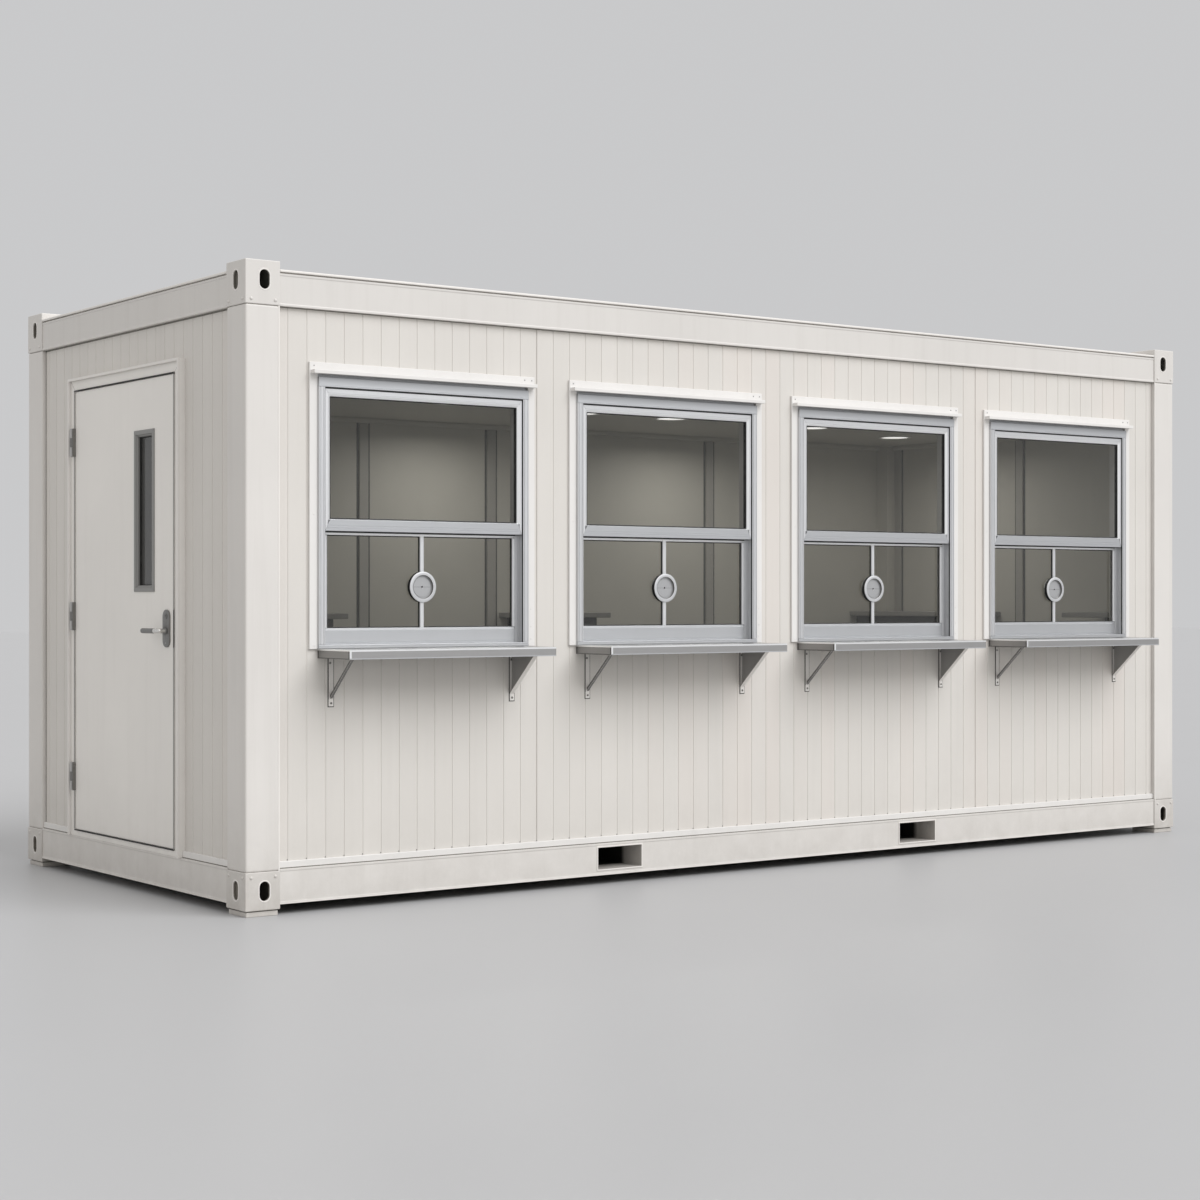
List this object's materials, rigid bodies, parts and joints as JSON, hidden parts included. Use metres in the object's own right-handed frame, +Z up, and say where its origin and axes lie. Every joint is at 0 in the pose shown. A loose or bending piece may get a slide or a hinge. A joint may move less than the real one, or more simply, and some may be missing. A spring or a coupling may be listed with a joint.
{
  "type": "ticket booth cabin",
  "caption": "Container-sized ticket booth with a row of serving windows over counter shelves, a hinged end door with a lever, and fork tunnels in its base.",
  "frame": {"origin": "on the ground under the middle of the whole outline, which takes in the shelves at the front and the lever at the left", "axes": "+X to the right along the serving side, +Y from the serving side to the back, +Z up"},
  "size_m": [6.122, 2.696, 2.826],
  "materials": {
    "wall": "satin",
    "frame_paint": "satin",
    "casing": "satin",
    "door_paint": "satin",
    "underside": "matte",
    "aluminium": "satin",
    "stainless": "brushed",
    "handle_steel": "satin",
    "glass": "gloss",
    "vision_paint": "satin",
    "lining": "matte",
    "flooring": "matte",
    "worktop": "matte",
    "cabinet": "matte",
    "light": "gloss"
  },
  "bodies": {
    "booth": {"foot_plates": "frame_paint", "lower_castings": "frame_paint", "upper_castings": "frame_paint", "corner_posts": "frame_paint", "bottom_side_rails": "frame_paint", "bottom_end_rails": "frame_paint", "top_side_rails": "frame_paint", "top_end_rails": "frame_paint", "fork_tunnels": "frame_paint", "underfloor_sheet": "underside", "floor": "flooring", "base_trim": "casing", "front_wall": "wall", "back_wall": "wall", "right_wall": "wall", "left_wall_front": "wall", "left_wall_rear": "wall", "left_wall_over_door": "wall", "roof": "frame_paint", "roof_ends": "frame_paint", "ceiling": "lining", "cornice": "lining", "cover_strips": "lining", "ceiling_lights": "light", "worktops": "worktop", "counter_cabinets": "cabinet", "window_casings": "casing", "window_frames": "aluminium", "upper_sashes": "aluminium", "upper_glass": "glass", "lower_sashes": "aluminium", "lower_glass": "glass", "voice_ports": "aluminium", "counter_shelves": "stainless", "strut_brackets": "stainless", "gusset_brackets": "stainless", "door_frame": "door_paint", "strike_plate": "handle_steel", "hinge_frame_plates": "stainless"},
    "door": {"door_leaf": "door_paint", "hinge_leaf_plates": "stainless", "vision_frame": "vision_paint", "vision_glass": "glass", "handle_plates": "handle_steel"},
    "lever": {"lever_handle": "handle_steel"}
  },
  "joints": [
    {"name": "door_hinge", "type": "hinge", "parent": "booth", "child": "door", "pos_m": [-3.006, 0.758, 1.282], "axis": [0, 0, -1], "range_deg": [0, 110]},
    {"name": "lever_turn", "type": "hinge", "parent": "door", "child": "lever", "pos_m": [-3.017, -0.306, 1.221], "axis": [-1, 0, 0], "range_deg": [0, 40], "stiffness_Nm_per_rad": 2, "springref_deg": -14.9}
  ]
}
